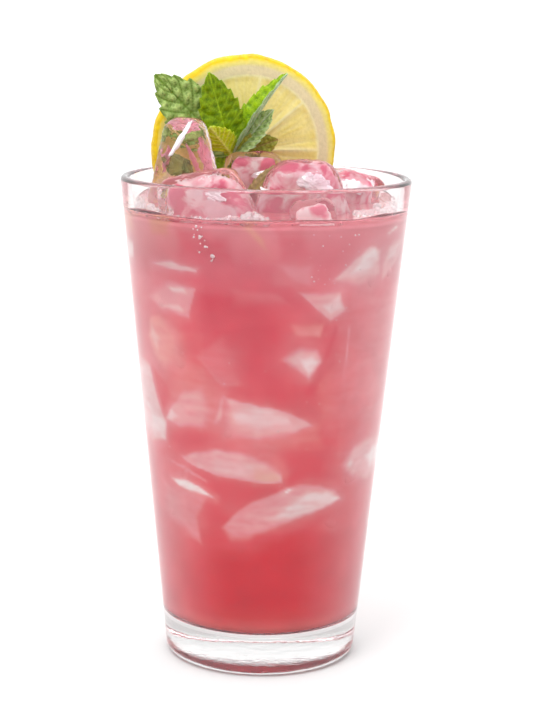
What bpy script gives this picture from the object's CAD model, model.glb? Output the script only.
import random
from math import atan2, copysign, cos, hypot, pi, radians, sin, sqrt

import bmesh
import bpy
import numpy as np
from mathutils import Matrix, Vector, noise
from mathutils.bvhtree import BVHTree


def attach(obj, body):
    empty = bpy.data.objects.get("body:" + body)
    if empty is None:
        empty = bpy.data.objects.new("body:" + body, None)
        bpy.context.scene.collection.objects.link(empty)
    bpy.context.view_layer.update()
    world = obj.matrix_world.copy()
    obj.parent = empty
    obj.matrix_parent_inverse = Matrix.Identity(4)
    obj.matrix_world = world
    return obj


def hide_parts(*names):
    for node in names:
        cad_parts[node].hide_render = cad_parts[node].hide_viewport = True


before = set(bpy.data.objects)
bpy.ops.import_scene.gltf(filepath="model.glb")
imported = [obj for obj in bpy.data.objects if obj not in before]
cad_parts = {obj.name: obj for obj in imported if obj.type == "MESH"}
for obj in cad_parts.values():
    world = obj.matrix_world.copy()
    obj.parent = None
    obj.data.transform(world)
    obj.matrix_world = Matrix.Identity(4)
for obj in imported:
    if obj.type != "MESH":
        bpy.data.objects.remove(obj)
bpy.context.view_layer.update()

MM = 0.001
BODY = "root"

# Tumbler, as in the CAD source (metres)
GLASS_HEIGHT = 0.150
RIM_RADIUS = 0.0445
FOOT_RADIUS = 0.0295
WALL_AT_RIM = 0.0026
WALL_AT_FLOOR = 0.0030
FLOOR_HEIGHT = 0.0127
FLOOR_FILLET = 0.0040
HEEL_RADIUS = 0.0030
BEARING_WIDTH = 0.0018
PUNT_DEPTH = 0.0022
GLASS_STEPS = 192

# Drink
DRINK_LEVEL = 0.1398
MENISCUS_RISE = 0.0010
MENISCUS_REACH = 0.0030
EDGE_WAVE = 1.3
INTO_WALL = 0.00015
INTO_ICE = 0.00012
CLOUD_DEPTH = 0.0018
CLOUD_AT_FLOOR = 0.0003
CLOUD_BELOW = 0.0010
CLOUD_ROUND = 0.0010
ICE_GAP = 0.0040
SOFT_GLOW = 0.35
TOP_LIGHT = 0.14
CLOUD_STEPS = 360
CLOUD_ROW = 0.00062

# Ice cubes that break the surface, as in the CAD source: half sizes, how much of the width and depth is left
# at the top, sideways shift of the top, centre, turns in degrees, rounding, seed
ICE_UNEVEN = 0.0014
ICE_DIMPLE = 0.00035
ICE_CUBES = {
    "ice_left": (
        (0.0128, 0.0080, 0.0170), (0.42, 0.66), -0.0006, (-0.0243, -0.0068, 0.1506), (2, 1, -8), 0.0042, 3,
    ),
    "ice_front_left": (
        (0.0152, 0.0060, 0.0125), (0.74, 0.84), -0.0022, (-0.0156, -0.0242, 0.1410), (0, -11, -12), 0.0034, 8,
    ),
    "ice_middle": (
        (0.0116, 0.0050, 0.0125), (0.72, 0.80), 0.0, (-0.0042, 0.0058, 0.1445), (-3, 2, 3), 0.0040, 15,
    ),
    "ice_front_right": (
        (0.0168, 0.0084, 0.0125), (0.56, 0.72), 0.0006, (0.0104, -0.0114, 0.1438), (3, 1, -6), 0.0058, 22,
    ),
    "ice_front": (
        (0.0085, 0.0042, 0.0085), (0.74, 0.80), 0.0, (0.0140, -0.0288, 0.1368), (0, -8, 4), 0.0030, 27,
    ),
    "ice_right": (
        (0.0100, 0.0085, 0.0105), (0.85, 0.85), 0.0, (0.0260, 0.0084, 0.1404), (-4, 16, 20), 0.0036, 31,
    ),
}

# Sunk ice: angle from the front in degrees, height of the centre in mm, half width along the wall, half
# height and half depth in mm, how far its nearest face stays from the wall in mm, roll, yaw and tilt in
# degrees, rounding in mm
SUNK_ICE = {
    "right_top": (46, 125.5, 9.5, 6.0, 7.0, 1.4, 14, -14, -6, 3.0),
    "right_top_far": (74, 126.0, 7.0, 6.0, 6.0, 1.5, 12, 6, 0, 3.0),
    "right_upper": (26, 115.0, 8.0, 5.0, 7.0, 1.5, -18, -16, -8, 2.6),
    "middle_top": (13, 124.5, 7.0, 3.6, 6.0, 1.8, 6, 4, -4, 2.4),
    "middle": (-4, 103.0, 16.0, 13.0, 9.0, 2.6, -6, 2, 0, 3.4),
    "left_upper": (-46, 116.0, 8.5, 5.4, 7.0, 1.5, 8, 14, -6, 2.8),
    "left_wide": (-52, 101.0, 9.5, 9.0, 8.0, 1.4, -10, -8, 2, 4.6),
    "left_edge": (-74, 83.0, 9.0, 12.0, 7.0, 1.3, -10, 6, 0, 3.2),
    "left_middle": (-42, 83.0, 9.5, 7.0, 7.0, 1.7, 12, -10, -10, 3.4),
    "band": (2, 80.5, 14.0, 5.6, 9.0, 1.5, -9, 2, -14, 3.2),
    "lens": (-19, 66.5, 17.0, 5.4, 9.0, 1.4, -6, 2, 8, 4.4),
    "left_low": (-48, 53.0, 8.5, 9.0, 8.0, 1.6, 6, 4, -12, 3.2),
    "large_low": (14, 53.0, 19.0, 7.0, 9.0, 1.4, 14, -2, -10, 4.2),
    "right_low": (66, 65.5, 11.0, 7.0, 7.0, 1.4, -4, 4, 0, 3.4),
    "right_middle": (64, 98.0, 11.0, 12.0, 8.0, 2.3, -6, 0, 0, 3.6),
    "right_heart": (20, 97.5, 6.0, 5.4, 6.0, 2.1, -24, 6, 0, 3.0),
    "back_top_left": (-118, 122.0, 9.0, 7.0, 8.0, 1.5, 12, 6, -6, 3.2),
    "back_top": (-158, 119.0, 10.0, 8.0, 8.0, 1.5, -14, -4, 4, 3.4),
    "back_top_right": (124, 121.0, 9.5, 7.5, 8.0, 1.4, 18, -6, 4, 3.2),
    "back_left": (-112, 97.0, 10.0, 8.0, 8.0, 1.5, -12, 6, 4, 3.6),
    "back_middle": (174, 98.0, 13.0, 8.0, 9.0, 1.5, 10, 2, -8, 3.6),
    "back_right": (118, 94.0, 9.0, 9.0, 8.0, 1.5, -8, 4, 6, 3.4),
    "back_low_left": (-126, 70.0, 12.0, 6.0, 8.0, 1.4, 16, -4, 6, 3.8),
    "back_low": (168, 72.0, 11.0, 7.0, 8.0, 1.5, -12, 4, -8, 3.6),
    "back_low_right": (116, 64.0, 10.0, 7.0, 8.0, 1.5, 10, -4, 6, 3.4),
    "back_deep": (-168, 52.0, 12.0, 6.0, 8.0, 1.5, 8, 2, 8, 3.8),
}

# Foam along the waterline: from and to angle, count, how far in from the wall and how high in mm, radii in mm
FOAM = [
    (-88, -42, 60, 3.0, 1.6, 0.40, 1.15),
    (-46, -14, 30, 2.0, 0.4, 0.20, 0.55),
    (-18, 2, 56, 10.0, 1.6, 0.40, 1.25),
    (1, 46, 20, 1.4, 0.3, 0.15, 0.45),
    (44, 90, 80, 7.0, 1.6, 0.40, 1.15),
    (95, 265, 120, 3.5, 0.8, 0.20, 0.70),
]
# Bubbles on the wall: from and to angle, lowest and highest in mm, count, radii in mm
WALL_BUBBLES = [
    (-31, -26, 135, 139, 8, 0.20, 0.55),
    (-28, -24, 130, 136, 7, 0.20, 0.50),
    (-24, -20, 126, 131, 5, 0.20, 0.60),
    (18, 46, 122, 137, 22, 0.10, 0.26),
    (-8, 8, 76, 81, 10, 0.10, 0.20),
    (-70, 70, 60, 135, 40, 0.08, 0.16),
    (100, 260, 60, 137, 60, 0.10, 0.30),
]
CLOUDY_HEARTS = ("ice_front_left", "ice_middle", "ice_front_right", "ice_front", "ice_right")
HEART_DEPTH = 0.0022
# Flaws in the ice: centre and half sizes in mm, turns in degrees, seed
FROST = {
    "frost_streak": ((-25.4, -13.0, 162.0), (0.7, 0.5, 5.4), (0, 31, 0), 3),
    "frost_patch": ((14.6, -17.2, 149.4), (4.3, 0.9, 2.7), (0, 12, 8), 9),
    "frost_corner": ((0.2, -15.4, 146.2), (2.2, 0.7, 1.2), (0, 24, -20), 14),
    "frost_middle": ((-2.0, 2.2, 150.2), (2.6, 0.6, 0.8), (0, -18, 0), 21),
    "frost_front_left": ((-16.5, -27.0, 146.5), (4.4, 0.6, 1.4), (0, 14, -22), 27),
    "frost_right": ((27.6, 2.2, 145.6), (4.8, 1.0, 2.4), (0, 20, 30), 33),
}

# Pink drink in the ice at the left, in the same form
BLUSH = {
    "blush_top": ((-24.8, -7.6, 164.6), (3.4, 2.4, 1.3), (0, 4, 0), 41),
    "blush_right": ((-19.6, -7.6, 156.5), (0.9, 2.2, 4.2), (0, -13, 0), 46),
    "blush_left": ((-29.4, -8.0, 155.5), (0.8, 2.0, 3.6), (0, 13, 0), 52),
    "blush_low": ((-23.0, -9.0, 148.5), (3.0, 0.8, 1.0), (0, -24, 0), 58),
    "blush_streak": ((-21.6, -9.4, 155.0), (0.6, 0.6, 4.6), (0, -24, 0), 61),
}
# Mint seen through the ice at the left, in the same form
GREEN = {
    "green_wide": ((-26.6, -9.0, 153.8), (3.4, 0.7, 2.8), (0, 34, 0), 67),
    "green_deep": ((-23.6, -8.6, 152.4), (1.5, 0.7, 2.6), (0, -12, 0), 72),
}

# Where the marks of the front end and those of the far side begin, and over how many degrees both fade; how
# many mm lower the far side's marks are
MARK_SEAM = 97
MARK_FADE = 10
FAR_DROP = 9
# How far noise moves a mark's outline, and how far outside it the mark still reaches, in mm
MARK_SWAY = 0.9
MARK_MARGIN = 7

# Marks that sunk ice leaves on the drink behind the wall: tone, strength, and an outline of (angle from the
# front in degrees, height in mm, softness in mm of the edge that starts there)
ICE_MARKS = {
    "right_wide": ("pale", 0.3, [(52, 118, 7), (95, 122, 7), (100, 76, 7), (56, 74, 7)]),
    "right_glow": ("pale", 0.24, [(27, 120, 6), (60, 124, 7), (62, 78, 7), (33, 76, 7)]),
    "left_wide_glow": ("pale", 0.1, [(-95, 128, 7), (-44, 122, 6), (-40, 92, 7), (-95, 66, 7)]),
    "upper_deep": ("deep", 0.6, [
        (-30, 119, 2.5), (-6, 121, 6), (12, 112, 6), (8, 92, 6), (-14, 92, 4), (-27, 104, 4),
    ]),
    "middle_deep": ("deep", 0.35, [(8, 75, 3), (24, 79, 4), (42, 74, 5), (40, 62, 4), (12, 60, 3)]),
    "left_deep": ("deep", 0.3, [(-57, 76, 2), (-28, 77, 3), (-6, 73, 3), (-24, 72, 2), (-58, 70, 3)]),
    "corner_deep": ("deep", 0.55, [(-66, 95, 1.5), (-53, 90, 2), (-50, 86, 2), (-59, 79, 1)]),
    "left_middle_glow": ("salmon", 0.34, [
        (-54, 86, 4), (-44, 100, 6), (-28, 98, 6), (-18, 88, 5), (-24, 78, 4), (-50, 79, 4),
    ]),
    "band_glow": ("salmon", 0.34, [
        (-22, 86, 3), (2, 84, 2), (30, 80, 3), (34, 72, 6), (6, 70, 6), (-20, 76, 5),
    ]),
    "right_glow_low": ("salmon", 0.3, [(22, 94, 5), (34, 96, 5), (40, 82, 5), (30, 78, 5)]),
    "wedge": ("pale", 0.22, [
        (-35, 100, 0.8), (-20, 90.5, 0.6), (-8, 92, 7), (-8, 103, 7), (-18, 107, 2),
    ]),
    "upper_pale": ("pale", 0.16, [(-16, 121.5, 1.5), (6, 120, 1.5), (12, 116, 3), (-14, 115.5, 3)]),
    "right_top": ("pale", 0.95, [
        (30, 122.8, 0.7), (40, 128, 0.6), (51, 132.5, 1.4), (58, 131, 2), (59, 123, 3), (46, 120.5, 3),
    ]),
    "right_top_heart": ("white", 0.62, [
        (40, 124.5, 2), (46, 130, 1.4), (54, 132, 1.6), (58, 128, 2), (49, 124, 2.5),
    ]),
    "right_top_far": ("pale", 0.62, [
        (60.5, 121, 0.4), (78, 127.2, 0.9), (82, 133, 3), (68, 133, 3), (60, 129, 1.6),
    ]),
    "right_top_far_heart": ("white", 0.35, [(62, 126, 2), (74, 127.5, 1.5), (76, 131, 2), (66, 131, 2)]),
    "middle_top": ("pale", 0.3, [(4, 128.5, 2), (22, 128.5, 2), (20, 122, 1.6), (10, 123.5, 1.6)]),
    "right_small": ("pale", 0.75, [
        (14, 120.2, 0.5), (22, 115.8, 0.4), (31, 111.2, 0.4), (38.5, 113.6, 0.6), (35, 119.6, 1.2),
    ]),
    "right_small_heart": ("white", 0.4, [
        (26, 115.8, 1.2), (35, 119, 1), (37, 114.5, 0.8), (31, 113, 0.8),
    ]),
    "right_small_low": ("salmon", 0.62, [
        (12, 110.8, 2), (28, 111.2, 0.7), (26.5, 106.8, 1.2), (14, 107.5, 2),
    ]),
    "left_upper": ("pale", 0.54, [
        (-31, 120.4, 0.4), (-36, 111, 0.9), (-52, 112, 1.6), (-64, 115.5, 3), (-45, 121.3, 1.4),
    ]),
    "left_upper_glint": ("white", 0.42, [
        (-47, 119.2, 0.8), (-36, 120, 0.8), (-36, 118.2, 0.8), (-44, 117.8, 0.8),
    ]),
    "left_upper_low_glint": ("white", 0.38, [
        (-53, 113.2, 0.8), (-41, 114.4, 1), (-38, 112.4, 0.8), (-47, 112.2, 0.8),
    ]),
    "left_wide": ("salmon", 0.66, [
        (-66, 103, 0.5), (-62.5, 109.3, 0.9), (-54, 110.5, 3), (-40, 106, 6), (-40, 97, 6),
        (-54, 92.5, 2.5), (-63, 97.5, 0.6),
    ]),
    "left_wide_heart": ("white", 0.3, [(-64.5, 103, 1), (-61, 107, 2), (-55, 103, 3), (-59, 98, 2)]),
    "left_edge": ("white", 0.42, [
        (-68, 94.5, 0.6), (-61, 80, 0.4), (-57.3, 77.2, 0.4), (-58.5, 71, 1.2), (-75, 69.5, 3),
        (-95, 74, 5), (-95, 92, 5), (-80, 95, 2.5),
    ]),
    "left_edge_foot": ("white", 0.45, [
        (-74, 80, 3), (-62, 79, 1.2), (-58, 76.6, 0.8), (-60, 72.5, 1.6), (-74, 72, 3),
    ]),
    "left_middle": ("pale", 0.62, [
        (-58, 78, 0.5), (-52, 83, 1.2), (-42, 88.5, 3), (-31, 90, 3), (-26, 83, 3), (-30, 77.6, 1.6),
        (-46, 76.2, 0.9),
    ]),
    "left_middle_glint": ("white", 0.45, [
        (-58, 78.4, 0.7), (-52, 82, 1.2), (-46, 80, 2), (-52, 77.6, 0.9),
    ]),
    "slit": ("pale", 0.7, [
        (-25.5, 79.4, 0.9), (-21.5, 86.5, 0.9), (-18.5, 88.6, 0.7), (-21.5, 80.5, 0.9),
    ]),
    "band": ("pale", 0.84, [
        (-19, 87.8, 0.9), (-8, 86.4, 0.4), (4, 84.9, 0.4), (14, 83, 0.5), (26, 79.7, 0.9), (13, 76.5, 4),
        (-3, 74.5, 4.5), (-18, 78, 4),
    ]),
    "band_heart": ("white", 0.34, [
        (-16, 83, 2), (-4, 85.6, 1.2), (12, 82.6, 0.9), (14, 79.6, 2), (-2, 78.2, 2.5), (-14, 80, 2.5),
    ]),
    "lens": ("pale", 0.76, [
        (-47, 67.2, 0.7), (-36, 70, 0.9), (-24, 71.8, 1.1), (-10, 71, 1.8), (2, 68.5, 2.4),
        (9.5, 65, 0.6), (10.5, 61.6, 0.5), (-4, 61.6, 0.5), (-24, 63.3, 0.4), (-38, 65.6, 0.4),
    ]),
    "lens_heart": ("white", 0.18, [
        (-26, 69, 3), (-8, 69.5, 3), (2, 65.5, 2), (-8, 62.8, 1.2), (-26, 65, 1.6),
    ]),
    "lens_side": ("peach", 0.4, [
        (-4, 66.5, 2), (6, 66, 2), (9.6, 63.6, 0.7), (8, 62, 0.8), (-4, 62.2, 1.2),
    ]),
    "lens_line": ("pale", 0.45, [
        (-58, 65.4, 0.7), (-44, 65.2, 0.5), (-30, 61.6, 0.5), (-31, 60.9, 0.5), (-45, 64, 0.6),
    ]),
    "left_low_body": ("pale", 0.42, [
        (-66, 59, 3), (-46, 58, 1.5), (-30, 56.6, 1.5), (-38, 49, 1.6), (-34.5, 40.5, 1.6),
        (-46, 41.5, 5), (-68, 48, 6),
    ]),
    "left_low": ("white", 0.8, [
        (-56, 60, 0.8), (-44, 61.2, 0.6), (-34, 58.8, 0.6), (-26, 56.2, 0.9), (-38, 57, 0.6),
        (-50, 58.4, 0.6),
    ]),
    "large_low": ("pale", 0.56, [
        (-22.5, 47, 0.6), (-12, 53, 0.6), (0, 57.4, 0.6), (12, 60.3, 0.6), (24, 60.9, 1), (34, 59.8, 1),
        (44, 57, 0.7), (48, 54.3, 0.5), (34, 51.8, 1.4), (20, 49.8, 1.6), (6, 47.2, 2), (-8, 43.5, 3.5),
        (-18, 43, 2.5),
    ]),
    "large_low_heart": ("white", 0.62, [
        (2, 50.5, 3), (14, 55.5, 2), (26, 58.8, 1.4), (38, 57.8, 1.2), (47, 54.7, 0.6), (34, 52.3, 1.2),
        (18, 50.4, 1.8),
    ]),
    "large_low_glint": ("white", 0.85, [
        (11, 58.7, 0.3), (13, 59.5, 0.3), (16.4, 59.5, 0.3), (14, 58.7, 0.3),
    ]),
    "right_low": ("pale", 0.85, [
        (45, 65, 3), (53, 71, 2), (70, 72.2, 2), (95, 71, 4), (97, 60, 4), (72, 58.5, 2.5), (56, 60, 2.5),
    ]),
    "right_low_heart": ("white", 0.7, [
        (66, 66.5, 2.5), (74, 69, 2), (92, 68, 3), (90, 62, 3), (74, 62.5, 2.5),
    ]),
    "right_low_glint": ("white", 0.35, [(50.5, 64.5, 1), (52, 67.4, 1), (56, 66.2, 1), (54, 64, 1)]),
    "right_heart": ("pale", 0.85, [
        (9, 100, 3), (17, 104, 3), (25, 103, 1.2), (28, 99, 0.5), (22.5, 93.6, 0.9), (16, 96.4, 2),
    ]),
    "right_heart_white": ("white", 0.6, [
        (17, 100, 1.6), (23, 101.2, 1.2), (26.5, 98.6, 0.8), (22.5, 94.6, 0.8), (19, 97, 1.2),
    ]),
    "right_seam": ("deep", 0.45, [(33.5, 110, 0.7), (35.5, 109, 1.4), (26, 88, 2), (20, 88.5, 1.2)]),
    "right_arc": ("pale", 0.55, [
        (41.2, 93, 0.4), (42.6, 100.5, 0.4), (41.6, 108.5, 0.4), (41.0, 108.3, 0.4), (41.7, 100.5, 0.4),
    ]),
    "top_left_streak": ("white", 0.45, [
        (-57, 125.6, 0.9), (-44, 127.6, 0.7), (-30, 126.7, 0.6), (-31, 125.3, 0.6), (-48, 124.9, 0.9),
    ]),
    "top_left_patch": ("white", 0.45, [(-88, 132, 2.5), (-73.5, 131, 1), (-75, 126, 1.5), (-88, 124, 3)]),
    "top_left_peach": ("olive", 0.42, [(-60, 142, 3), (-41, 142, 3), (-45, 134.5, 2.5), (-56, 134, 2.5)]),
    "top_far_left_peach": ("peach", 0.4, [(-95, 142, 3), (-68, 142, 4), (-72, 134, 3), (-95, 132, 3)]),
    "peach_line": ("peach", 0.5, [
        (-15, 142, 1), (-9, 142, 1), (-3, 137, 1), (1, 131, 1.4), (-3, 133, 1.4), (-8, 138, 1),
    ]),
    "top_left_deep": ("deep", 0.42, [(-42, 139, 3), (-14, 137, 3), (-12, 127, 4), (-40, 129, 3)]),
    "top_middle_deep": ("deep", 0.3, [(2, 139, 2), (16, 139, 3), (20, 130, 4), (6, 129, 2)]),
    "top_right_glint": ("white", 0.5, [
        (62, 135.6, 0.5), (71, 137.4, 0.6), (71.5, 136.4, 0.5), (63, 135.1, 0.5),
    ]),
}


def srgb(r, g, b):
    """A screen colour from 0 to 255 as linear light."""
    return tuple(((c / 255 + 0.055) / 1.055) ** 2.4 if c > 10 else c / 255 / 12.92 for c in (r, g, b))


VEIL = 0.045
BRIGHTNESS = (0.94, 0.83, 0.83)
DRINK_TINT = (0.99, 0.92, 0.935)


def behind_glass(r, g, b):
    """The surface colour that a screen colour from 0 to 255 has behind glass and drink, with their veil."""
    channels = zip(srgb(r, g, b), BRIGHTNESS, DRINK_TINT)
    seen = [(c - VEIL) / (bright * tint**2) for c, bright, tint in channels]
    return np.array([min(max(c, 0.002), 1.0) for c in seen])


# The drink's colour at heights in mm, deep and red at the bottom and paler near the top
LIQUID = (
    (13.1, (254, 118, 128)), (14, (212, 106, 106)), (19, (205, 76, 81)), (24, (203, 67, 75)),
    (38, (203, 67, 75)), (50, (208, 78, 86)), (65, (211, 87, 95)), (100, (212, 86, 97)),
    (116, (212, 92, 104)), (127, (213, 110, 121)), (138, (214, 128, 136)),
)
# Its colour towards the sides
SIDES = (212, 138, 144)
MARK_COLOURS = {
    "pale": (225, 169, 173),
    "salmon": (227, 152, 147),
    "white": (236, 224, 224),
    "deep": (204, 70, 84),
    "peach": (216, 160, 130),
    "olive": (196, 140, 96),
}


def smoothstep(low, high, x):
    t = np.clip((x - low) / (high - low), 0, 1)
    return t * t * (3 - 2 * t)


def outer_radius(z):
    return FOOT_RADIUS + (RIM_RADIUS - FOOT_RADIUS) * z / GLASS_HEIGHT


def inner_radius(z):
    share = (z - FLOOR_HEIGHT) / (GLASS_HEIGHT - FLOOR_HEIGHT)
    return outer_radius(z) - WALL_AT_FLOOR + (WALL_AT_FLOOR - WALL_AT_RIM) * share


def arc(centre, radius, start, end, steps):
    points = []
    for i in range(steps + 1):
        angle = radians(start + (end - start) * i / steps)
        points.append((centre[0] + radius * cos(angle), centre[1] + radius * sin(angle)))
    return points


def add_object(name, mesh, material=None):
    obj = bpy.data.objects.new(name, mesh)
    bpy.context.scene.collection.objects.link(obj)
    if material:
        mesh.materials.append(material)
    return obj


def solid(name, verts, faces, material=None):
    """A smooth closed solid whose faces all look outwards."""
    mesh = bpy.data.meshes.new(name)
    mesh.from_pydata(verts, [], faces)
    bm = bmesh.new()
    bm.from_mesh(mesh)
    bmesh.ops.recalc_face_normals(bm, faces=bm.faces)
    bm.to_mesh(mesh)
    bm.free()
    mesh.shade_smooth()
    return add_object(name, mesh, material)


def mesh_of(name, bm):
    mesh = bpy.data.meshes.new(name)
    bm.to_mesh(mesh)
    bm.free()
    return mesh


def around(angle, radius, height):
    """A place at an angle from the front, which is towards -Y."""
    return (radius * sin(angle), -radius * cos(angle), height)


def turned(angle, axis):
    return Matrix.Rotation(radians(angle), 4, axis)


def lathe(name, profile, steps, material=None):
    """A closed solid turned about Z from a profile of (radius, height) that starts and ends on the axis."""
    verts, faces, rings = [], [], []
    for radius, height in profile:
        count = steps if radius > 1e-7 else 1
        rings.append([len(verts) + i % count for i in range(steps + 1)])
        verts += [around(2 * pi * i / steps, radius, height) for i in range(count)]
    for low, high in zip(rings, rings[1:]):
        for i in range(steps):
            # On the axis two corners are the same point, which the face has once
            faces.append(tuple(dict.fromkeys((low[i], high[i], high[i + 1], low[i + 1]))))
    return solid(name, verts, faces, material)


def place_piece(obj, slot, *nodes):
    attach(obj, BODY)
    if nodes:
        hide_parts(*nodes)
    return obj


def configure(thing, **settings):
    for key, value in settings.items():
        setattr(thing, key, value)
    return thing


def modify(obj, kind, **settings):
    configure(obj.modifiers.new(kind.lower(), kind), **settings)


def apply_modifiers(obj):
    graph = bpy.context.evaluated_depsgraph_get()
    mesh = bpy.data.meshes.new_from_object(obj.evaluated_get(graph))
    mesh.name = obj.name
    obj.modifiers.clear()
    obj.data = mesh


def set_inputs(tree, made, inputs):
    """Sets each input of a node to a value, or joins it to the output of another node."""
    for key, value in inputs.items():
        if isinstance(value, bpy.types.NodeSocket):
            tree.links.new(value, made.inputs[key])
        elif made.inputs[key].type == "RGBA":
            made.inputs[key].default_value = (*value, 1)
        else:
            made.inputs[key].default_value = value


def node(tree, kind, inputs, **settings):
    made = configure(tree.nodes.new("ShaderNode" + kind), **settings)
    set_inputs(tree, made, inputs)
    return made


def speckle(tree, scale, detail=3.0, distortion=0.0):
    """Noise in the object's own space."""
    place = node(tree, "TexCoord", {}).outputs["Object"]
    inputs = {"Vector": place, "Scale": scale, "Detail": detail, "Distortion": distortion}
    return node(tree, "TexNoise", inputs).outputs["Fac"]


def spread(tree, value, start, end, low, high, way="LINEAR"):
    """Takes the values from start to end to those from low to high."""
    inputs = {"Value": value, "From Min": start, "From Max": end, "To Min": low, "To Max": high}
    return node(tree, "MapRange", inputs, interpolation_type=way).outputs["Result"]


def two_tones(tree, value, low, low_colour, high, high_colour):
    ramp = node(tree, "ValToRGB", {"Fac": value})
    ends = zip(ramp.color_ramp.elements, (low, high), (low_colour, high_colour))
    for element, place, colour in ends:
        element.position = place
        element.color = (*colour, 1)
    return ramp.outputs["Color"]


def painted(tree, factor):
    """The colour that is painted on the mesh, times a factor."""
    tint = node(tree, "Attribute", {}, attribute_name="tint").outputs["Color"]
    return node(tree, "VectorMath", {0: tint, "Scale": factor}, operation="SCALE").outputs["Vector"]


def bump(tree, height, strength, distance):
    inputs = {"Height": height, "Strength": strength, "Distance": distance}
    return node(tree, "Bump", inputs).outputs["Normal"]


LOOKS = {
    "colour": "Base Color",
    "roughness": "Roughness",
    "ior": "IOR",
    "clear": "Transmission Weight",
    "shine": "Specular IOR Level",
    "normal": "Normal",
}


def new_material(name):
    material = bpy.data.materials.new(name)
    material.use_nodes = True
    return material, material.node_tree


def dress(material, **looks):
    """Sets what the shader looks like, by the plain words in LOOKS."""
    shader = material.node_tree.nodes["Principled BSDF"]
    set_inputs(material.node_tree, shader, {LOOKS[key]: value for key, value in looks.items()})
    return material


def clear_material(name, ior, colour):
    return dress(new_material(name)[0], colour=colour, roughness=0.0, ior=ior, clear=1.0)


def cloud_material(name):
    """Cloudy drink or sunk ice: the painted colour with a fine mottling of pulp."""
    material, tree = new_material(name)
    pulp = spread(tree, speckle(tree, 90.0, 4.0), 0.3, 0.7, 0.93, 1.06)
    return dress(material, colour=painted(tree, pulp), roughness=0.6, shine=0.0)


def ice_material():
    """Clear ice, uneven, with faint pink patches."""
    material, tree = new_material("clear_ice")
    colour = two_tones(tree, speckle(tree, 75.0), 0.46, (1.0, 0.98, 0.98), 0.62, (0.98, 0.78, 0.86))
    normal = bump(tree, speckle(tree, 210.0), 0.8, 0.0012)
    return dress(material, colour=colour, roughness=0.02, ior=1.31, clear=1.0, normal=normal)


def frost_material(name, colour, clear, roughness, strength=0.3):
    """Half clear: frost and cracks in the ice, bubbles and foam."""
    material, tree = new_material(name)
    normal = bump(tree, speckle(tree, 700.0), strength, 0.0003)
    return dress(material, colour=colour, roughness=roughness, ior=1.33, clear=clear, normal=normal)


def heart_material():
    """The cloudy heart of an ice cube, blotched pink and white."""
    material, tree = new_material("cloudy_heart")
    blotch = speckle(tree, 150.0, 5.0, 0.8)
    colour = two_tones(tree, blotch, 0.42, srgb(222, 112, 138), 0.56, srgb(252, 232, 234))
    return dress(material, colour=colour, roughness=0.35, ior=1.2, clear=0.45)


# Glass

GLASS_IOR = 1.5
GLASS_TINT = (0.968, 0.972, 0.970)
DRINK_IOR = 1.33
BASE_TINT = (0.66, 0.665, 0.663)
PUNT_RADIUS = 0.0245
FILLET_END = FLOOR_HEIGHT + FLOOR_FILLET + 0.0004
OUTER_SKIN = 0.0010


def in_contact(place):
    """True for a place in or at the wall and floor that the drink wets."""
    if place.z > DRINK_LEVEL + MENISCUS_RISE:
        return False
    if place.z < FILLET_END:
        return FLOOR_HEIGHT - 0.0006 < place.z
    return -0.0001 < hypot(place.x, place.y) - inner_radius(place.z) < 0.0006


def set_contact(obj, material, steepest=1.0):
    """Gives the faces where drink and glass touch a material of their own, because no air is between them."""
    obj.data.materials.append(material)
    for face in obj.data.polygons:
        radius = hypot(face.center.x, face.center.y)
        low = face.center.z < FILLET_END
        outside = radius > outer_radius(face.center.z) - OUTER_SKIN
        if in_contact(face.center) and not outside and (not low or radius < outer_radius(FLOOR_HEIGHT)):
            if low or face.normal.z < steepest:
                face.material_index = 1


def wave_edge(vert):
    """Moves a point of the waterline up or down along the wall, so that the drink's edge is wavy."""
    place = vert.co.to_2d().normalized() * 2.6
    wave = 0.25 + noise.noise(Vector((place.x, place.y, 2.0)))
    rise = (vert.co.z - DRINK_LEVEL) * EDGE_WAVE * wave
    scale = 1 + (inner_radius(vert.co.z + rise) - inner_radius(vert.co.z)) / vert.co.to_2d().length
    vert.co = (vert.co.x * scale, vert.co.y * scale, vert.co.z + rise)


def glass_profile():
    fillet_height = FLOOR_HEIGHT + FLOOR_FILLET
    fillet_centre = (inner_radius(fillet_height) - FLOOR_FILLET, fillet_height)
    lip_radius = WALL_AT_RIM / 2
    lip_height = GLASS_HEIGHT - lip_radius
    lip_centre = (outer_radius(lip_height) - lip_radius, lip_height)
    heel_centre = (outer_radius(HEEL_RADIUS) - HEEL_RADIUS, HEEL_RADIUS)
    bearing_inside = heel_centre[0] - BEARING_WIDTH
    profile = [(0.0, FLOOR_HEIGHT), (fillet_centre[0] * 0.6, FLOOR_HEIGHT)]
    profile += arc(fillet_centre, FLOOR_FILLET, -90, 0, 12)
    wet_top = DRINK_LEVEL + MENISCUS_RISE
    profile += [(inner_radius(z), z) for z in (0.030, 0.060, 0.090, 0.120, wet_top)]
    profile += arc(lip_centre, lip_radius, 180, 0, 16)
    profile += [(outer_radius(z), z) for z in (0.120, 0.090, 0.060, 0.030, FLOOR_HEIGHT)]
    profile += arc(heel_centre, HEEL_RADIUS, 0, -90, 12)
    profile += [(bearing_inside, 0.0), (bearing_inside - 0.0012, PUNT_DEPTH * 0.3)]
    profile += [(bearing_inside - 0.0026, PUNT_DEPTH * 0.62), (bearing_inside * 0.75, PUNT_DEPTH * 0.9)]
    profile += [(bearing_inside * 0.5, PUNT_DEPTH), (0.0, PUNT_DEPTH)]
    return profile


def base_material(name, roughness, clear, scale, strength, distance):
    """The thick base, which pressing leaves a little uneven."""
    material = clear_material(name, GLASS_IOR, BASE_TINT)
    tree = material.node_tree
    normal = bump(tree, speckle(tree, scale), strength, distance)
    return dress(material, roughness=roughness, clear=clear, normal=normal)


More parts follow.
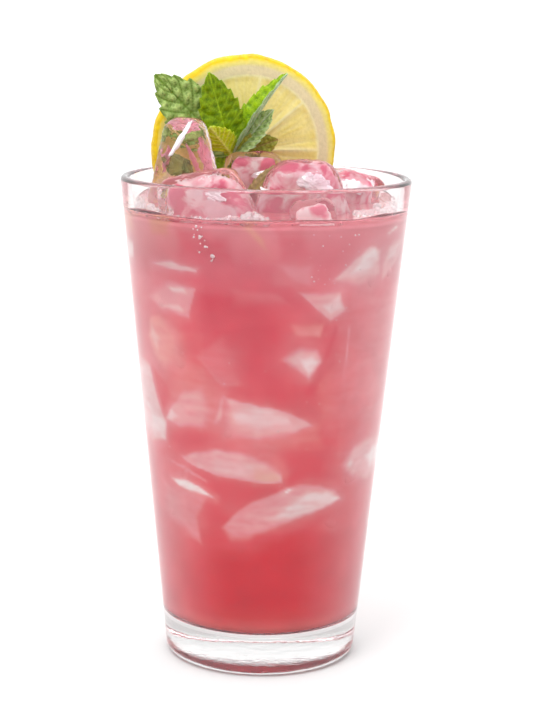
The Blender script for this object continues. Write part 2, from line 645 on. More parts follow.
def build_glass():
    finish = clear_material("clear_tumbler", GLASS_IOR, GLASS_TINT)
    glass = lathe("tumbler", glass_profile(), GLASS_STEPS, finish)
    set_contact(glass, clear_material("wet_tumbler", GLASS_IOR / DRINK_IOR, GLASS_TINT))
    for vert in glass.data.vertices:
        if abs(vert.co.z - DRINK_LEVEL - MENISCUS_RISE) < 1e-6:
            wave_edge(vert)
    glass.data.materials.append(base_material("thick_base", 0.04, 1.0, 190.0, 0.15, 0.0005))
    glass.data.materials.append(base_material("pressed_punt", 0.08, 0.90, 330.0, 0.4, 0.0007))
    for face in glass.data.polygons:
        radius = hypot(face.center.x, face.center.y)
        if face.center.z < PUNT_DEPTH + 0.0002 and radius < PUNT_RADIUS:
            face.material_index = 3
        elif face.center.z < FLOOR_HEIGHT - 0.0004:
            face.material_index = 2
    place_piece(glass, "clear_glass", "glass")


# Ice


NOISE_APART = (0.0, 31.7, 67.3)


def steady_noise(place):
    """A vector of three noises, the same in every run, from places that are far apart."""
    return Vector([noise.noise(place + Vector((0, 0, apart))) for apart in NOISE_APART])


def uneven(place, seed, amount):
    return steady_noise(Vector(place) * 400 + Vector((seed * 7.3, seed * 3.1, seed * 5.7))) * amount


def melted_cube(name, half, share, shift, seed, rounding, voxel, grow=0.0):
    """A melted cube: a box with moved corners that narrows upwards, rounded and dimpled all over."""
    bm = bmesh.new()
    bmesh.ops.create_cube(bm, size=2.0)
    for vert in bm.verts:
        corner = Vector([side * size for side, size in zip(vert.co, half)])
        if vert.co.z > 0:
            corner.x = corner.x * share[0] + shift
            corner.y *= share[1]
        vert.co = corner + uneven(corner, seed, ICE_UNEVEN) + vert.co * grow
    obj = add_object(name, mesh_of(name, bm))
    modify(obj, "BEVEL", width=rounding, segments=6, limit_method="NONE")
    modify(obj, "REMESH", mode="VOXEL", voxel_size=voxel, use_smooth_shade=True)
    modify(obj, "SMOOTH", factor=0.5, iterations=4)
    apply_modifiers(obj)
    away = Vector((seed * 1.7, seed * 0.9, seed * 2.3))
    normals = [v.normal.copy() for v in obj.data.vertices]
    for vert, normal in zip(obj.data.vertices, normals):
        wave = noise.noise(vert.co * 260 + away) + 0.5 * noise.noise(vert.co * 620 + away)
        vert.co += normal * (wave * ICE_DIMPLE)
    obj.data.shade_smooth()
    return obj


def set_place(obj, centre, turns):
    obj.location = centre
    obj.rotation_euler = [radians(turn) for turn in turns]
    bpy.context.view_layer.update()
    obj.data.transform(obj.matrix_world)
    obj.matrix_world = Matrix.Identity(4)


def keep_off_wall(obj, gap):
    """Draws a shape in to a gap from the wall wherever it is under the drink's surface."""
    for vert in obj.data.vertices:
        radius = hypot(vert.co.x, vert.co.y)
        sunk = float(smoothstep(-0.0030, 0.0025, DRINK_LEVEL - vert.co.z))
        room = inner_radius(vert.co.z) - 0.0002 - (gap - 0.0002) * sunk
        if radius > room:
            vert.co.x *= room / radius
            vert.co.y *= room / radius


def visible_cube(name, material=None, grow=0.0, voxel=0.00055, gap=ICE_GAP):
    half, share, shift, centre, turns, rounding, seed = ICE_CUBES[name.split("-")[0]]
    obj = melted_cube(name, half, share, shift, seed, rounding, voxel, grow=grow)
    set_place(obj, centre, turns)
    keep_off_wall(obj, gap - grow)
    if material:
        obj.data.materials.append(material)
    return obj


def sunk_cube(name, number, material):
    """A sunk ice cube, turned and moved out until its nearest point is at the wanted gap from the wall."""
    angle, height, wide, high, deep, gap, roll, yaw, tilt, rounding = SUNK_ICE[name]
    half = (wide * MM, deep * MM, high * MM)
    obj = melted_cube("sunk_ice_" + name, half, (0.86, 0.92), 0.0, 40 + number * 3, rounding * MM, 0.0010)
    obj.data.transform(turned(angle, "Z") @ turned(yaw, "Z") @ turned(roll, "Y") @ turned(tilt, "X"))
    points = np.array([v.co for v in obj.data.vertices])
    way = np.array(around(radians(angle), 1.0, 0.0))
    near, far = 0.0, 0.045
    for _ in range(24):
        push = (near + far) / 2
        moved = points + way * push + np.array((0, 0, height * MM))
        room = inner_radius(moved[:, 2]) - np.hypot(moved[:, 0], moved[:, 1])
        if room.min() > gap * MM:
            near = push
        else:
            far = push
    obj.data.transform(Matrix.Translation(Vector(way * near) + Vector((0, 0, height * MM))))
    obj.data.materials.append(material)
    return obj


def cut(obj, cutters):
    group = bpy.data.collections.new("cutters")
    for cutter in cutters:
        group.objects.link(cutter)
    obj.data.shade_smooth()
    settings = {"operand_type": "COLLECTION", "collection": group, "solver": "MANIFOLD"}
    modify(obj, "BOOLEAN", operation="DIFFERENCE", **settings)
    finish = obj.data.materials[0]
    apply_modifiers(obj)
    obj.data.materials.clear()
    obj.data.materials.append(finish)
    obj.data.polygons.foreach_set("material_index", [0] * len(obj.data.polygons))
    bpy.data.collections.remove(group)
    for cutter in cutters:
        bpy.data.objects.remove(cutter)


# Lemon

LEMON_RADIUS = 0.0300
LEMON_THICKNESS = 0.0060
LEMON_CENTRE = (-0.0072, 0.0240, 0.1560)
LEMON_TURN = 15
LEMON_LEAN = 3
LEMON_SEGMENTS = 9
LEMON_STEPS = 320
LEMON_RINGS = 52
FLESH_SHARE = 0.795
CORE_SHARE = 0.07
FLESH_SINK = 0.0005
PEEL_SHARE = FLESH_SHARE + 0.1
PEEL_WAVE = 0.0005


def lemon_place():
    return Matrix.Translation(LEMON_CENTRE) @ turned(LEMON_TURN, "Z") @ turned(90 + LEMON_LEAN, "X")


def disc(name, radius, depth, place):
    bm = bmesh.new()
    bmesh.ops.create_cone(bm, cap_ends=True, segments=96, depth=depth, radius1=radius, radius2=radius)
    bm.transform(place)
    return add_object(name, mesh_of(name, bm))


def off_middle(angle):
    """0 in the middle of a segment of the lemon and 1 at its two sides."""
    return abs((angle * LEMON_SEGMENTS / (2 * pi)) % 1.0 - 0.5) * 2


def ring_noise(angle, scale, height):
    """Noise that closes on itself round a ring."""
    return noise.noise(Vector((cos(angle) * scale, sin(angle) * scale, height)))


def lemon_relief(share, angle):
    between = min(1.0, (1 - off_middle(angle)) * 3.0)
    in_flesh = min(1.0, max(0.0, (FLESH_SHARE - share) * 14)) * min(1.0, max(0.0, (share - CORE_SHARE) * 8))
    return FLESH_SINK * in_flesh * between


ZEST = srgb(234, 202, 14)
ZEST_SIDE = srgb(206, 166, 2)
UNDER_ZEST = srgb(242, 226, 128)
PITH = srgb(232, 216, 172)
FLESH = srgb(250, 235, 162)
FLESH_DEEP = srgb(246, 227, 130)
MEMBRANE = srgb(250, 240, 184)
LEMON_SHADE = 0.86


def mix(a, b, share):
    share = min(max(share, 0.0), 1.0)
    return tuple(x + (y - x) * share for x, y in zip(a, b))


def lemon_colour(share, angle, grain):
    """The colour of the cut face from its middle out: core, flesh in segments, pith, zest."""
    gap = (1 - off_middle(angle)) * share * LEMON_RADIUS * pi / LEMON_SEGMENTS
    wobble = share + 0.012 * ring_noise(angle, 3, 4.0)
    colour = mix(FLESH, FLESH_DEEP, 0.5 + 1.1 * grain)
    colour = mix(colour, MEMBRANE, 0.75 * (1 - smoothstep(0.0001, 0.0008, gap)))
    colour = mix(MEMBRANE, colour, smoothstep(0.05, 0.13, share))
    colour = mix(colour, MEMBRANE, smoothstep(FLESH_SHARE - 0.035, FLESH_SHARE - 0.010, wobble))
    colour = mix(colour, PITH, smoothstep(FLESH_SHARE - 0.012, FLESH_SHARE + 0.012, wobble))
    colour = mix(colour, UNDER_ZEST, smoothstep(0.870, 0.925, wobble))
    return mix(colour, ZEST, smoothstep(0.930, 0.972, wobble + 0.02 * grain))


def lemon_material():
    material, tree = new_material("lemon_wheel_finish")
    fine = speckle(tree, 900.0)
    colour = painted(tree, spread(tree, fine, 0.3, 0.7, 0.94, 1.05))
    return dress(material, colour=colour, roughness=0.42, shine=0.15, normal=bump(tree, fine, 0.35, 0.0004))


def lemon_profile():
    half = LEMON_THICKNESS / 2
    bulge = half * 0.6
    front = [(LEMON_RADIUS * 0.93 * i / LEMON_RINGS, half) for i in range(LEMON_RINGS + 1)]
    turns = [0.35 + (pi - 0.70) * i / 14 for i in range(15)]
    peel = [(LEMON_RADIUS - bulge + bulge * sin(t), half * cos(t)) for t in turns]
    return front + peel + [(radius, -height) for radius, height in reversed(front)]


def build_lemon():
    lemon = lathe("lemon_slice", lemon_profile(), LEMON_STEPS, lemon_material())
    colours = []
    for vert in lemon.data.vertices:
        x, y, z = vert.co
        radius, angle = hypot(x, y), atan2(y, x)
        share = radius / LEMON_RADIUS
        face = (z > 0) * 9
        streak = ring_noise(angle, 17, share * 3.2 + face)
        grain = 0.6 * streak + 0.4 * ring_noise(angle, 26, share * 7.0 + face)
        if share > PEEL_SHARE:
            wave = PEEL_WAVE * (ring_noise(angle, 5, z * 90) - 0.3) + 0.00012 * ring_noise(angle, 24, z * 900)
            vert.co.x *= 1 + wave / radius
            vert.co.y *= 1 + wave / radius
        else:
            in_flesh = 1 - smoothstep(FLESH_SHARE - 0.03, FLESH_SHARE, share)
            vert.co.z -= copysign(lemon_relief(share, angle) - 0.00016 * grain * in_flesh, z)
        side = abs(z) < LEMON_THICKNESS / 2 - 0.0002 and share > 0.9
        colours.append(mix(ZEST_SIDE, ZEST, 0.5 + grain) if side else lemon_colour(share, angle, grain))
    paint(lemon, np.array(colours) * LEMON_SHADE)
    lemon.data.transform(lemon_place())
    lemon.data.shade_smooth()
    place_piece(lemon, "lemon", "lemon_wheel")


# Mint

STEM_RADIUS = 0.0013
STEM_TOP = (-0.0106, 0.0125, 0.1563)
STEM_FOOT = (-0.0095, 0.0162, 0.1335)
STEM_COLOUR = srgb(84, 112, 8)
LEAF_THICKNESS = 0.00045
LEAF_ROWS = 90
LEAF_COLUMNS = 26
LEAF_TEETH = 8
SIDE_VEINS = 8
# Leaves of the sprig: length, width, way it grows, way its upper side faces, fold, bend and twist in degrees
SPRIG_LEAVES = {
    "left": (0.0345, 0.0185, (-0.0228, -0.0030, 0.0240), (0.15, -0.95, 0.20), 12, -10, 0),
    "middle": (0.0270, 0.0138, (-0.0078, -0.0030, 0.0262), (0.10, -1.00, 0.05), 14, 6, 0),
    "right": (0.0305, 0.0110, (0.0150, -0.0020, 0.0265), (-0.80, -0.52, 0.30), 46, -8, 10),
    "back_right": (0.0190, 0.0100, (0.0125, 0.0005, 0.0135), (-0.35, -0.85, 0.40), 20, 6, 0),
    "lower_right": (0.0150, 0.0096, (0.0140, 0.0018, 0.0050), (-0.15, -0.95, -0.10), 16, 8, 0),
    "front_left": (0.0150, 0.0092, (-0.0064, -0.0100, 0.0088), (-0.50, -0.45, 0.75), 14, 6, 0),
    "lower_left": (0.0085, 0.0070, (-0.0052, 0.0000, -0.0062), (0.10, -1.00, 0.10), 20, 0, 0),
}
LOOSE_LEAF = (0.0180, 0.0050, (0.0100, -0.0004, 0.0146), (-0.60, -0.75, 0.25), 24, -18, 0)
LOOSE_LEAF_FOOT = (-0.0070, -0.0012, 0.1404)
# Colours of a leaf: upper side low and high, its veins, the underside, its veins; height of the quilting
LEAF_LOOKS = {
    "left": ((84, 112, 26), (150, 170, 96), (98, 126, 40), (150, 178, 100), (200, 214, 160), 0.060),
    "middle": ((70, 102, 0), (118, 144, 0), (160, 188, 30), (150, 178, 90), (196, 210, 140), 0.030),
    "right": ((88, 126, 2), (144, 176, 8), (168, 194, 40), (146, 172, 120), (212, 222, 196), 0.034),
    "back_right": (
        (104, 134, 56), (158, 178, 112), (212, 220, 190), (150, 178, 100), (190, 208, 150), 0.034,
    ),
    "lower_right": (
        (112, 114, 30), (152, 154, 56), (160, 132, 80), (140, 146, 60), (176, 150, 100), 0.026,
    ),
    "front_left": (
        (140, 160, 14), (172, 188, 50), (204, 212, 120), (180, 200, 24), (212, 222, 110), 0.030,
    ),
    "lower_left": ((84, 124, 8), (132, 168, 24), (150, 180, 60), (140, 166, 60), (190, 208, 130), 0.024),
    "loose": ((108, 84, 54), (146, 124, 86), (140, 128, 62), (150, 130, 84), (180, 160, 110), 0.024),
}


def leaf_points(shape, quilt, along, across):
    """The middle surface of a leaf on a grid of shares along and across, the height of its quilting there and
    how much of each point is vein."""
    length, width, _, _, fold, bend, twist = shape
    off = np.abs(across)
    inside = np.clip(along, 1e-6, 1 - 1e-6)
    half = width / 2 * np.maximum(np.sin(pi * inside**0.85) ** 0.80, 0.05)
    edge = off**5 * ((along > 0.06) & (along < 0.96))
    saw = (along * LEAF_TEETH) % 1.0
    tooth = 1 + edge * (0.17 * saw - 0.10)
    side = radians(fold) * (1 - 0.3 * along)
    x = across * half * tooth * np.cos(side)
    z = off * half * tooth * np.sin(side)
    z += 0.018 * width * np.sin(along * 26 - off * 4.5) * np.minimum(1, 2 * off)
    phase = (along - 0.24 * off**0.8) * SIDE_VEINS
    from_vein = np.abs(phase - np.round(phase))
    side_vein = np.exp(-((from_vein / 0.085) ** 2)) * (off < 0.93)
    mid_vein = np.exp(-((off * half / 0.00028) ** 2))
    ladder = np.sin(off * 15.0 + np.round(phase) * 2.1) * np.sin(phase * pi) ** 2
    puff = (1 - side_vein) * (1 - mid_vein) * (0.62 + 0.55 * ladder)
    z += quilt * width * (puff - 0.4) * np.minimum(1, half / (0.25 * width))
    y = length * along
    if bend:
        angle = radians(bend) * along
        reach = length / radians(bend)
        y = reach * np.sin(angle) - z * np.sin(angle)
        z = reach * (1 - np.cos(angle)) + z * np.cos(angle)
    y = y + edge * saw * 0.25 * length / 16
    turn = radians(twist) * along
    points = np.stack([x * np.cos(turn) - z * np.sin(turn), y, x * np.sin(turn) + z * np.cos(turn)], -1)
    return points, puff, np.clip(side_vein * 0.8 + mid_vein, 0, 1)


def leaf_axes(shape, foot):
    along = Vector(shape[2]).normalized()
    normal = Vector(shape[3])
    normal = (normal - along * normal.dot(along)).normalized()
    axes = Matrix((along.cross(normal), along, normal)).transposed().to_4x4()
    return Matrix.Translation(foot) @ axes


def leaf_solid(name, shape, foot):
    """Points, faces and colours of a leaf that is thinner at its edge."""
    *tones, quilt = LEAF_LOOKS[name]
    low, high, vein, under, under_vein = [np.array(srgb(*tone)) for tone in tones]
    rows, columns = LEAF_ROWS + 1, LEAF_COLUMNS + 1
    along, across = np.meshgrid(np.linspace(0, 1, rows), np.linspace(-1, 1, columns), indexing="ij")
    middle, puff, is_vein = leaf_points(shape, quilt, along, across)
    normal = np.cross(np.gradient(middle, axis=1), np.gradient(middle, axis=0))
    normal /= np.maximum(np.linalg.norm(normal, axis=-1, keepdims=True), 1e-12)
    thick = LEAF_THICKNESS / 2 * (1 - 0.65 * np.abs(across) ** 4)[..., None]
    sheets = [(middle + normal * thick).reshape(-1, 3), (middle - normal * thick).reshape(-1, 3)]
    matrix = np.array(leaf_axes(shape, foot))
    points = np.concatenate(sheets) @ matrix[:3, :3].T + matrix[:3, 3]
    count = rows * columns
    grid = np.arange(count).reshape(rows, columns)
    faces = []
    corners = np.stack([grid[:-1, :-1], grid[:-1, 1:], grid[1:, 1:], grid[1:, :-1]], -1).reshape(-1, 4)
    for a, b, c, d in corners.tolist():
        faces += [(a, b, c, d), (count + a, count + d, count + c, count + b)]
    border = np.concatenate([grid[0], grid[1:, -1], grid[-1, -2::-1], grid[-2:0:-1, 0]]).tolist()
    for a, b in zip(border, border[1:] + border[:1]):
        faces.append((b, a, count + a, count + b))
    lift = np.clip(puff, 0, 1)
    upper = blend(blend(low, high, lift), vein, is_vein * 0.8)
    upper = blend(upper, vein, smoothstep(0.90, 1.0, np.abs(across)) * 0.35)
    lower = blend(under * (0.8 + 0.25 * lift)[..., None], under_vein, is_vein * 0.9)
    if name == "right":
        # Folded over, so that half of it shows its underside
        upper = np.where((across > 0.05)[..., None], lower, upper)
    return points, faces, np.concatenate([upper.reshape(-1, 3), lower.reshape(-1, 3)])


def mint_material():
    """The painted colour with a net of fine veins."""
    material, tree = new_material("mint_leaves")
    inputs = {"Vector": node(tree, "TexCoord", {}).outputs["Object"], "Scale": 1000.0}
    net = node(tree, "TexVoronoi", inputs, feature="DISTANCE_TO_EDGE").outputs["Distance"]
    colour = painted(tree, spread(tree, net, 0.02, 0.14, 1.25, 0.97))
    return dress(material, colour=colour, roughness=0.42, shine=0.18, normal=bump(tree, net, 0.4, 0.0002))


def joined(name, solids, material):
    """One mesh from several (points, faces, colours)."""
    points, faces, colours = [], [], []
    for more_points, more_faces, more_colours in solids:
        start = len(points)
        points += [tuple(x) for x in more_points]
        faces += [tuple(start + i for i in face) for face in more_faces]
        colours += [tuple(x) for x in more_colours]
    obj = solid(name, points, faces, material)
    paint(obj, np.array(colours))
    return obj


def stem_solid(start, end, radius, sides=20, rows=24):
    """Points, faces and colours of a stem with four soft ridges."""
    start, end = Vector(start), Vector(end)
    turn = (end - start).to_track_quat("Z", "Y").to_matrix()
    points, faces = [], []
    for i in range(rows + 1):
        share = i / rows
        cap = sqrt(max(1 - max(share - 0.94, 0.06 - share, 0) ** 2 / 0.0036, 0.02))
        for j in range(sides):
            angle = 2 * pi * j / sides
            out = radius * (1 - 0.2 * share) * cap * (1 + 0.08 * cos(4 * angle))
            offset = turn @ Vector((out * cos(angle), out * sin(angle), 0.0))
            points.append(tuple(start + (end - start) * share + offset))
    for i in range(rows):
        for j in range(sides):
            a, b = i * sides + j, i * sides + (j + 1) % sides
            faces.append((a, b, b + sides, a + sides))
    faces.append(tuple(range(sides - 1, -1, -1)))
    faces.append(tuple(rows * sides + j for j in range(sides)))
    return points, faces, [STEM_COLOUR] * len(points)


def build_mint():
    finish = mint_material()
    foot = Vector(STEM_TOP) - Vector((0, 0, STEM_RADIUS))
    solids = [leaf_solid(name, shape, foot) for name, shape in SPRIG_LEAVES.items()]
    solids.append(stem_solid(STEM_FOOT, STEM_TOP, STEM_RADIUS))
    place_piece(joined("mint_sprig_leaves", solids, finish), "mint", "mint_sprig")
    loose = joined("mint_leaf_fallen", [leaf_solid("loose", LOOSE_LEAF, Vector(LOOSE_LEAF_FOOT))], finish)
    place_piece(loose, "mint", "mint_leaf_loose")


# Drink


def drink_profile():
    wall_top = DRINK_LEVEL + MENISCUS_RISE
    edge = inner_radius(wall_top) + INTO_WALL
    profile = [(0.0, DRINK_LEVEL), (edge * 0.5, DRINK_LEVEL)]
    for share in (0.0, 0.25, 0.5, 0.7, 0.85, 0.95, 1.0):
        profile.append((edge - MENISCUS_REACH * (1 - share), DRINK_LEVEL + MENISCUS_RISE * share**2))
    floor = FLOOR_HEIGHT - INTO_WALL
    fillet_height = floor + FLOOR_FILLET
    fillet_centre = (inner_radius(fillet_height) + INTO_WALL - FLOOR_FILLET, fillet_height)
    profile += [(inner_radius(z) + INTO_WALL, z) for z in (wall_top - 0.0002, 0.120, 0.090, 0.060, 0.030)]
    return profile + arc(fillet_centre, FLOOR_FILLET, 0, -90, 12) + [(0.0, floor)]


def cloud_profile():
    """The cloudy body a little inside the wall, in even rows."""
    top = DRINK_LEVEL - CLOUD_BELOW
    round_top = top - CLOUD_ROUND
    floor = FLOOR_HEIGHT + CLOUD_AT_FLOOR
    fillet = FLOOR_FILLET - CLOUD_AT_FLOOR
    fillet_height = floor + fillet
    fillet_middle = inner_radius(fillet_height) - CLOUD_AT_FLOOR - fillet
    edge = inner_radius(top) - CLOUD_DEPTH
    profile = [(edge * i / 12, top) for i in range(12)]
    profile += arc((edge - CLOUD_ROUND, round_top), CLOUD_ROUND, 90, 0, 4)
    rows = int((round_top - fillet_height) / CLOUD_ROW)
    for i in range(1, rows):
        z = round_top + (fillet_height - round_top) * i / rows
        gap = CLOUD_AT_FLOOR + (CLOUD_DEPTH - CLOUD_AT_FLOOR) * float(smoothstep(0.018, 0.034, z))
        profile.append((inner_radius(z) - gap, z))
    profile += arc((fillet_middle, fillet_height), fillet, 0, -90, 8)
    return profile + [(fillet_middle * (1 - i / 6), floor) for i in range(1, 7)]


def blend(a, b, share):
    return a + (b - a) * share[..., None]


GOLDEN_ANGLE = 2.39996


def nearness(depth):
    """How much of the ice at a depth behind the wall still shows through the cloudy drink."""
    depth_mm = np.maximum(depth / MM - 0.3, 0)
    return 0.72 * np.exp(-depth_mm / 1.25) + 0.28 * np.exp(-depth_mm / 5.5)


def liquid_colour(angle, height):
    """The drink's own colour by height in mm, a little paler to the sides."""
    heights, colours = zip(*LIQUID)
    tones = [behind_glass(*colour) for colour in colours]
    colour = np.stack([np.interp(height, heights, channel) for channel in zip(*tones)], -1)
    away = np.minimum(np.abs(angle), 180 - np.abs(angle))
    low, high = 0.8 * smoothstep(15, 85, away), 0.55 * smoothstep(28, 75, away)
    return blend(colour, behind_glass(*SIDES), low + (high - low) * smoothstep(40, 95, height))


def outline_distance(x, y, outline):
    """How far inside an outline each point lies in mm, and the softness of the edges near it."""
    inside = np.zeros(len(x), bool)
    nearest = np.full(len(x), 1e9)
    weight, softness = np.zeros(len(x)), np.zeros(len(x))
    for (x0, y0, soft), (x1, y1, _) in zip(outline, outline[1:] + outline[:1]):
        wide, high = x1 - x0, y1 - y0
        along = np.clip(((x - x0) * wide + (y - y0) * high) / (wide**2 + high**2), 0, 1)
        gap = np.hypot(x - x0 - along * wide, y - y0 - along * high)
        inside ^= ((y0 > y) != (y1 > y)) & (x < x0 + (y - y0) * wide / (high or 1e-9))
        nearest = np.minimum(nearest, gap)
        share = 1 / (gap + 0.15) ** 3
        weight += share
        softness += share * soft
    return np.where(inside, nearest, -nearest), softness / weight


def far_side(angle, height):
    """The side away from the front repeats the front's marks, half a turn round and lower."""
    away = np.abs(angle) > MARK_SEAM
    beyond = angle - np.sign(angle) * 180
    return np.where(away, beyond, angle), np.where(away, height + FAR_DROP, height)


def painted_colour(points):
    """The drink's colour with the marks that sunk ice leaves on it where it comes near the wall."""
    angle = np.degrees(np.arctan2(points[:, 0], -points[:, 1]))
    height = points[:, 2] / MM
    colour = liquid_colour(angle, height)
    off_seam = smoothstep(0, MARK_FADE, np.abs(np.abs(angle) - MARK_SEAM))
    angle, height = far_side(angle, height)
    places = [Vector((a * 0.05, h * 0.07, 1.0)) for a, h in zip(angle, height)]
    sway = np.array([steady_noise(place)[:2] for place in places])
    sway += 0.35 * np.array([steady_noise(place * 4.5)[:2] for place in places])
    streaks = np.array([noise.noise(Vector((a * 0.045, h * 0.5, 5.0))) for a, h in zip(angle, height)])
    streaks += 0.6 * np.array([noise.noise(Vector((a * 0.22, h * 0.9, 9.0))) for a, h in zip(angle, height)])
    for tone, strength, outline in ICE_MARKS.values():
        width = radians(1) * inner_radius(outline[0][1] * MM) / MM
        flat = [(a * width, h, soft) for a, h, soft in outline]
        place = np.stack([angle * width, height], -1) + sway * MARK_SWAY
        corners = np.array(flat)[:, :2]
        near = ((place > corners.min(0) - MARK_MARGIN) & (place < corners.max(0) + MARK_MARGIN)).all(1)
        if near.any():
            depth, soft = outline_distance(*place[near].T, flat)
            share = 0.78 * smoothstep(-0.35, 1.0, depth / soft) + 0.22 * smoothstep(-4.0, 2.0, depth / soft)
            share *= strength * (1 + 0.32 * streaks[near]) * off_seam[near]
            colour[near] = blend(colour[near], behind_glass(*MARK_COLOURS[tone]), np.clip(share, 0, 1))
    return colour * (1 - TOP_LIGHT * smoothstep(0.118, 0.130, points[:, 2]))[:, None]


def paint(obj, colours):
    attribute = obj.data.color_attributes.new("tint", "FLOAT_COLOR", "POINT")
    rgba = np.ones((len(colours), 4), np.float32)
    rgba[:, :3] = np.clip(colours, 0, 1)
    attribute.data.foreach_set("color", rgba.ravel())


def vertices_of(obj):
    points = np.empty(len(obj.data.vertices) * 3, np.float32)
    obj.data.vertices.foreach_get("co", points)
    return points.reshape(-1, 3).astype(float)


def tree_of(objects):
    verts, faces = [], []
    for obj in objects:
        start = len(verts)
        verts += [v.co.copy() for v in obj.data.vertices]
        faces += [tuple(start + i for i in face.vertices) for face in obj.data.polygons]
    return BVHTree.FromPolygons(verts, faces)


def shown_ice(points, ice, rays=8, cone=0.35):
    """For points on the cloudy body, how much sunk ice shows through the drink behind them."""
    offsets = [(0.0, 0.0)]
    for i in range(1, rays):
        radius = cone * sqrt(i / rays)
        turn = i * GOLDEN_ANGLE
        offsets.append((radius * cos(turn), radius * sin(turn)))
    shown = np.zeros(len(points))
    for i, (x, y, z) in enumerate(points):
        radius = hypot(x, y)
        if radius < 0.006:
            continue
        inward = Vector((-x / radius, -y / radius, 0.0))
        side = Vector((inward.y, -inward.x, 0.0))
        start = Vector((x, y, z)) - inward * 0.0001
        wall = inner_radius(z) - radius
        for a, b in offsets:
            depth = ice.ray_cast(start, (inward + side * a + Vector((0, 0, b))).normalized(), 0.02)[3]
            if depth is not None:
                shown[i] += nearness(wall + depth)
    return shown / len(offsets)


def paint_drink(obj, shown):
    """Paints the drink's colour, paler by how much sunk ice shows."""
    pale = behind_glass(*MARK_COLOURS["pale"])
    paint(obj, blend(painted_colour(vertices_of(obj)), pale, np.clip(shown * SOFT_GLOW, 0, 1)))


def paint_sunk(obj):
    x, y, z = vertices_of(obj).T
    paint_drink(obj, nearness(inner_radius(z) - np.hypot(x, y)))


def bubble_cluster(group, seed):
    """Places and radii of bubbles along the waterline between two angles, thickest in the middle."""
    start, end, count, reach, rise, small, large = group
    rng = random.Random(seed)
    found = []
    for _ in range(count):
        share = (rng.random() + rng.random()) / 2
        angle = radians(start + (end - start) * share)
        size = (small + (large - small) * rng.random() ** 2) * MM
        inward = reach * MM * rng.random() ** 1.6
        z = DRINK_LEVEL + MENISCUS_RISE * max(0.0, 1 - inward / MENISCUS_REACH) + rise * MM * rng.random()
        found.append((around(angle, inner_radius(z) - size - inward, z), size))
    return found


def wall_bubbles(group, seed):
    """Places and radii of bubbles that cling to the wall below the waterline."""
    start, end, low, high, count, small, large = group
    rng = random.Random(seed)
    found = []
    for _ in range(count):
        angle = radians(start + (end - start) * rng.random())
        z = (low + (high - low) * rng.random()) * MM
        size = (small + (large - small) * rng.random() ** 2) * MM
        found.append((around(angle, inner_radius(z) - size * 0.9, z), size))
    return found


def build_bubbles(name, groups, place_group, first_seed, finish):
    bm = bmesh.new()
    for seed, group in enumerate(groups):
        for place, size in place_group(group, first_seed + seed):
            bmesh.ops.create_icosphere(bm, subdivisions=2, radius=size, matrix=Matrix.Translation(place))
    mesh = mesh_of(name, bm)
    mesh.shade_smooth()
    place_piece(add_object(name, mesh, finish), "lemonade")


def build_flaws(finish, flaws):
    """Flaws in the ice: blobs flattened and turned, with a rough outline."""
    for name, (centre, half, turns, seed) in flaws.items():
        bm = bmesh.new()
        bmesh.ops.create_icosphere(bm, subdivisions=5, radius=1.0)
        for vert in bm.verts:
            place = vert.co + Vector((seed, 0, 0))
            rough = 1 + 0.50 * noise.noise(place * 1.8) + 0.28 * noise.noise(place * 5)
            vert.co = Vector([a * b * MM * rough for a, b in zip(vert.co, half)])
        mesh = mesh_of(name, bm)
        mesh.shade_smooth()
        obj = add_object(name, mesh, finish)
        set_place(obj, Vector(centre) * MM, turns)
        place_piece(obj, "ice")


def build_visible_ice():
    finish = ice_material()
    for name in ICE_CUBES:
        place_piece(visible_cube(name + "-clear", finish), "ice", name)


def build_liquid():
    """The clear drink, with pockets for what stands in it."""
    finish = clear_material("pink_drink", DRINK_IOR, DRINK_TINT)
    drink = lathe("lemonade_body", drink_profile(), GLASS_STEPS, finish)
    for vert in drink.data.vertices:
        if vert.co.z > DRINK_LEVEL + 0.0001:
            wave_edge(vert)
    cutters = [visible_cube(name + "-pocket", grow=-INTO_ICE, voxel=0.0008) for name in ICE_CUBES]
    cutters.append(disc("lemon-pocket", LEMON_RADIUS - INTO_ICE, LEMON_THICKNESS - INTO_ICE, lemon_place()))
    cut(drink, cutters)
    set_contact(drink, clear_material("pink_drink_at_wall", 1.0, DRINK_TINT), 0.3)
    drink.data.set_sharp_from_angle(angle=radians(35))
    place_piece(drink, "lemonade", "lemonade")


def build_cloud():
    """The cloudy body with the sunk ice in it."""
    sunk = []
    sunk_finish = cloud_material("sunk_ice")
    for number, name in enumerate(SUNK_ICE):
        obj = sunk_cube(name, number, sunk_finish)
        paint_sunk(obj)
        sunk.append(place_piece(obj, "ice"))
    cloud = lathe("lemonade_cloud", cloud_profile(), CLOUD_STEPS, cloud_material("lemonade_cloud"))
    paint_drink(cloud, shown_ice(vertices_of(cloud), tree_of(sunk)))
    cloud.data.shade_smooth()
    place_piece(cloud, "lemonade")


def build_details():
    """Foam, bubbles, flaws and hearts of the ice."""
    foam_finish = frost_material("foam", (1.0, 0.94, 0.95), 0.82, 0.01, 0.03)
    build_bubbles("foam", FOAM, bubble_cluster, 50, foam_finish)
    wall_finish = frost_material("wall_bubbles", (1.0, 0.95, 0.95), 0.30, 0.05, 0.05)
    build_bubbles("wall_bubbles", WALL_BUBBLES, wall_bubbles, 90, wall_finish)
    build_flaws(frost_material("frost", (0.98, 0.96, 0.97), 0.05, 0.3), FROST)
    build_flaws(frost_material("blush", (0.94, 0.50, 0.61), 0.80, 0.30), BLUSH)
    build_flaws(frost_material("green", (0.42, 0.50, 0.20), 0.70, 0.20), GREEN)
    heart_finish = heart_material()
    for name in CLOUDY_HEARTS:
        heart = visible_cube(name + "-heart", heart_finish, grow=-HEART_DEPTH, voxel=0.0008)
        place_piece(heart, "ice")


# Stage


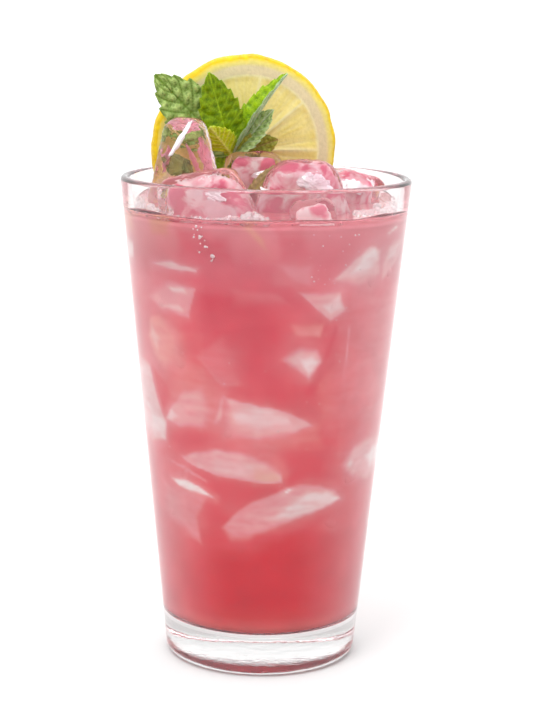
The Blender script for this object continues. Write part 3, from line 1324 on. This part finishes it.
def build_floor():
    bm = bmesh.new()
    bmesh.ops.create_circle(bm, cap_ends=True, segments=96, radius=1.6)
    material = dress(new_material("floor")[0], colour=(0.62, 0.62, 0.62), roughness=0.9, shine=0.0)
    add_object("floor", mesh_of("floor", bm), material)


LAMP_SIDE = (-0.30, -0.50, 0.80)
LAMP_SPREAD = 9
LAMP_STRENGTH = 9.0


def build_light():
    """A bright studio all round that is dimmer on the camera's side."""
    world = bpy.data.worlds.new("studio")
    bpy.context.scene.world = world
    world.use_nodes = True
    tree = world.node_tree
    way = node(tree, "TexCoord", {}).outputs["Generated"]
    split = node(tree, "SeparateXYZ", {0: way})
    front = spread(tree, split.outputs["Y"], -0.9, 0.1, 0.70, 1.20, "SMOOTHSTEP")
    above = spread(tree, split.outputs["Z"], 0.15, 0.60, 0.0, 0.9, "SMOOTHSTEP")
    toward = node(tree, "VectorMath", {0: way, 1: Vector(LAMP_SIDE).normalized()}, operation="DOT_PRODUCT")
    edge, middle = [cos(radians(LAMP_SPREAD + soft)) for soft in (3, 0)]
    lamp = spread(tree, toward.outputs["Value"], edge, middle, 0.0, LAMP_STRENGTH, "SMOOTHSTEP")
    total = front
    for more in (above, lamp):
        total = node(tree, "Math", {0: total, 1: more}, operation="ADD").outputs[0]
    set_inputs(tree, tree.nodes["Background"], {"Strength": total, "Color": (1, 1, 1)})


CAMERA_PLACE = (0.00085, -0.58108, 0.20430)
CAMERA_TILT = 10.72
CAMERA_ROLL = 0.81


def build_camera():
    data = configure(bpy.data.cameras.new("camera"), lens=96.6, sensor_width=36)
    camera = bpy.data.objects.new("camera", data)
    bpy.context.scene.collection.objects.link(camera)
    turns = turned(90 - CAMERA_TILT, "X") @ turned(CAMERA_ROLL, "Z")
    camera.matrix_world = Matrix.Translation(CAMERA_PLACE) @ turns
    bpy.context.scene.camera = camera


def set_render():
    scene = bpy.context.scene
    scene.view_settings.view_transform = "Standard"
    bounces = {"max_bounces": 96, "transmission_bounces": 96, "glossy_bounces": 64, "diffuse_bounces": 3}
    configure(scene.cycles, use_denoising=True, sample_clamp_indirect=6.0, blur_glossy=0.0, **bounces)


build_camera()
build_light()
build_floor()
build_glass()
build_lemon()
build_mint()
build_visible_ice()
build_liquid()
build_cloud()
build_details()
set_render()
